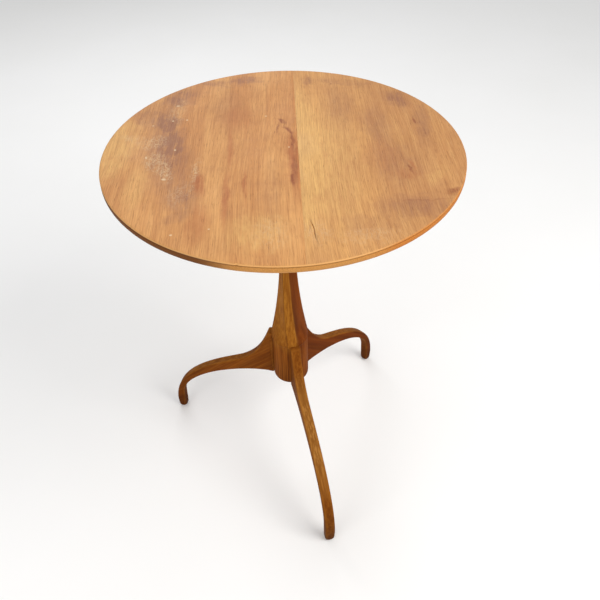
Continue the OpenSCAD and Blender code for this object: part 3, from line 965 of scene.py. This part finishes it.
def mark_leg(obj, along, across, red, seed):
    """Rubbed edges, painted light on the ledge, painted shade in red-brown on the sides and foot,
    dirt at the seat, and dirt with painted shade towards the floor. red is how much painted shade
    the sides get."""
    half = LEG_T / 2
    in_front = obj.name.startswith("leg_front")
    grain, wear, grime, tone, faded = [], [], [], [], []
    for v in obj.data.vertices:
        r, t, z = v.co.dot(along), v.co.dot(across), v.co.z
        g_along = r * math.cos(GRAIN_ANGLE) + z * math.sin(GRAIN_ANGLE)
        g_across = -r * math.sin(GRAIN_ANGLE) + z * math.cos(GRAIN_ANGLE)
        grain.append((g_across + seed * 0.37, g_along, t))
        r, t, z = r / MM, t / MM, z / MM
        # Painted light on the ledge top, through the wear share.
        ledge = clamp((z - LEDGE_Z / MM + 6) / 3)
        rounding = half - ROUND - 0.1 < abs(t) < half - 0.3
        wear.append(max(1.0 if rounding else 0.12, ledge))
        # Painted shade in red-brown on the sides, and on the side legs at the foot.
        sides = red if abs(t) > half - 1.2 else 0.15 * red
        foot = 0.0 if in_front else 0.7 * clamp(1.2 - z / 100)
        tone.append(max(sides, foot))
        faded.append(leg_fading(r, t, z, in_front))
        at_seat = clamp(1 - (r - SEAT_R - 1.5) / 2)
        # Dirt and painted shade towards the floor.
        at_floor = clamp(1 - z / 100)
        grime.append(min(1.0, 0.2 * at_seat * (1 - ledge) + 0.8 * at_floor))
    mark(obj, grain, wear=wear, grime=grime, tone=tone, faded=faded)


def leg(name, material, seed):
    """A leg sawn from a board: flat sides, rounded edges, and edge faces a little crowned."""
    gap = LEFT_GAP if name == "leg_left" else 0.0
    reach = FOOT_R + (FRONT_REACH if name == "leg_front" else 0.0)
    outline = leg_outline(name == "leg_right", gap, reach)
    normals = outward(outline)
    a = math.radians(LEG_AZIMUTHS[name])
    along, across = Vector((math.cos(a), math.sin(a), 0)), Vector((-math.sin(a), math.cos(a), 0))
    rings = []
    for side, row in leg_section():
        ring = []
        for p, normal in zip(outline, normals):
            r, t, z = leg_point(p, normal, side, row, gap, seed)
            ring.append(along * (r * MM) + across * (t * MM) + Vector((0, 0, z * MM)))
        rings.append(ring)
    bm = bmesh.new()
    skin(bm, rings)
    obj = make_object(name + "_shaped", bm, material, sharp=50.0)
    mark_leg(obj, along, across, LEG_SIDE_SHADES[name], seed)
    return obj


# ---- Pieces that keep their CAD shape ----
def dress(node, material, edge=None):
    """Gives a CAD piece its material and, where asked, eased edges."""
    obj = frame["nodes"][node]
    if not obj.material_slots:
        obj.data.materials.append(material)
    for slot in obj.material_slots:
        slot.link = "OBJECT"
        slot.material = material
    if edge:
        weld = obj.modifiers.new("weld", "WELD")
        weld.merge_threshold = 0.01 * MM
        bevel = obj.modifiers.new("eased_edges", "BEVEL")
        bevel.width = edge * MM
        bevel.segments = 3
        bevel.limit_method = "ANGLE"
        bevel.angle_limit = math.radians(40)


# ---- Stage ----
CAMERA_PLACE = (0, -0.9035, 1.2423)
CAMERA_ANGLES = (1.47, -38.82, -1.15)   # yaw, pitch and roll
CAMERA_LENS = 40.32
CAMERA_SHIFT = -0.1
WORLD_STRENGTH = 0.62
FLOOR_HALF = 80.0
# Name, place, target, size, power and colour
LIGHTS = [
    ("key", (1.5, -0.9, 2.1), (0, 0, 0.5), (1.4, 1.4), 34, (1.0, 0.98, 0.95)),
    ("fill", (-1.5, -1.7, 0.9), (0, 0, 0.35), (1.4, 1.0), 12, (1.0, 0.98, 0.96)),
    ("back", (-0.6, 2.0, 1.9), (0, 0, 0.6), (1.6, 0.8), 14, (0.97, 0.98, 1.0))]


def camera():
    """At the photograph's viewing angle: above and in front, looking 39 degrees down."""
    data = bpy.data.cameras.new("camera")
    obj = bpy.data.objects.new("camera", data)
    bpy.context.collection.objects.link(obj)
    data.sensor_width = 36.0
    data.lens = CAMERA_LENS
    data.shift_y = CAMERA_SHIFT
    yaw, pitch, roll = (math.radians(v) for v in CAMERA_ANGLES)
    ahead = Vector((math.sin(yaw) * math.cos(pitch), math.cos(yaw) * math.cos(pitch),
                    math.sin(pitch)))
    right = Vector((math.cos(yaw), -math.sin(yaw), 0))
    up = right.cross(ahead)
    right, up = (right * math.cos(roll) + up * math.sin(roll),
                 up * math.cos(roll) - right * math.sin(roll))
    turn = Matrix((right, up, -ahead)).transposed()
    obj.matrix_world = Matrix.Translation(CAMERA_PLACE) @ turn.to_4x4()
    bpy.context.scene.camera = obj


def area_light(name, place, target, size, power, colour):
    data = bpy.data.lights.new(name, "AREA")
    data.shape = "RECTANGLE"
    data.size, data.size_y = size
    data.energy = power
    data.color = colour
    obj = bpy.data.objects.new(name, data)
    bpy.context.collection.objects.link(obj)
    obj.location = place
    obj.rotation_euler = (Vector(target) - Vector(place)).to_track_quat("-Z", "Y").to_euler()


def floor():
    bm = bmesh.new()
    corners = ((-1, -1), (1, -1), (1, 1), (-1, 1))
    bm.faces.new([bm.verts.new((x * FLOOR_HALF, y * FLOOR_HALF, 0)) for x, y in corners])
    t = Tree("paper")
    coords = t.object_coords()
    tone = t.noise(coords, (3, 3, 3), 3.0, 0.5, 1.0)
    material = t.finish(Base_Color=t.mix(tone, srgb(246, 246, 245), srgb(250, 250, 250)),
                        Roughness=0.9, Specular_IOR_Level=0.1)
    obj = make_object("floor", bm, material)
    obj.location.z = -0.5 * MM
    obj.visible_glossy = False


def world():
    """A white room. Seen directly it matches the far floor; in reflections it is darker."""
    data = bpy.data.worlds.new("studio")
    data.use_nodes = True
    nodes, links = data.node_tree.nodes, data.node_tree.links
    background = nodes["Background"]
    background.inputs["Color"].default_value = (1.0, 1.0, 1.0, 1.0)
    path = nodes.new("ShaderNodeLightPath")
    seen, reflected = (nodes.new("ShaderNodeMath") for _ in range(2))
    for step, ray, change in ((seen, "Is Camera Ray", -0.04), (reflected, "Is Glossy Ray", -0.22)):
        step.operation = "MULTIPLY_ADD"
        links.new(path.outputs[ray], step.inputs[0])
        step.inputs[1].default_value = change
    seen.inputs[2].default_value = WORLD_STRENGTH
    links.new(seen.outputs[0], reflected.inputs[2])
    links.new(reflected.outputs[0], background.inputs["Strength"])
    return data


def studio():
    scene = bpy.context.scene
    scene.view_settings.view_transform = "Standard"
    scene.view_settings.look = "None"
    scene.world = world()
    for light in LIGHTS:
        area_light(*light)
    floor()


# ---- Build ----
camera()
studio()

left = board("board_left", True, top_material("top_wood_left", True))
right = board("board_right", False, top_material("top_wood_right", False))
cut_crack(right)
column_wood = frame_material("column_wood", COLUMN_PALETTE, seed=21.0, round_base=True)
leg_wood = frame_material("leg_wood", LEG_PALETTE, seed=33.0)
pillar = column(column_wood)
tenon_end = tenon(column_wood)
legs = {name: leg(name, leg_wood, 1.0 + k) for k, name in enumerate(LEG_AZIMUTHS)}

for piece, body, node, slot in (
        (left, "top", "top_board_left", "top_wood_left"),
        (right, "top", "top_board_right", "top_wood_right"),
        (pillar, "base", "column", "column_wood"),
        (tenon_end, "base", None, "column_wood"),
        (legs["leg_front"], "base", "leg_front", "leg_wood"),
        (legs["leg_right"], "base", "leg_right", "leg_wood"),
        (legs["leg_left"], "base", "leg_left", "leg_wood")):
    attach(piece, body)
    if node:
        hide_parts(node)

batten_wood = frame_material("batten_wood", FRAME_PALETTE, turn=(0, 0, math.radians(90)),
                             seed=45.0, rough=(0.5, 0.65))
block_wood = frame_material("block_wood", FRAME_PALETTE, turn=(0, 0, 0), seed=49.0,
                            rough=(0.5, 0.65))
wedge_wood = frame_material("wedge_wood", WEDGE_PALETTE, turn=(math.radians(90), 0, 0),
                            seed=53.0, rough=(0.55, 0.7))
brass = metal_material("brass", srgb(210, 170, 96), srgb(156, 116, 60), 0.32, srgb(88, 64, 34))
steel = metal_material("steel_screw", srgb(150, 146, 140), srgb(84, 76, 68), 0.38,
                       srgb(70, 44, 28))
dress("batten_front", batten_wood, 1.2)
dress("batten_back", batten_wood, 1.2)
dress("pivot_block", block_wood, 1.0)
dress("tenon_wedge", wedge_wood)
dress("batten_screws", steel)
for node in ("catch_plate", "strike_plate"):
    dress(node, brass, 0.3)
for node in ("catch_bolt", "catch_knob", "catch_screws", "strike_screws"):
    dress(node, brass)
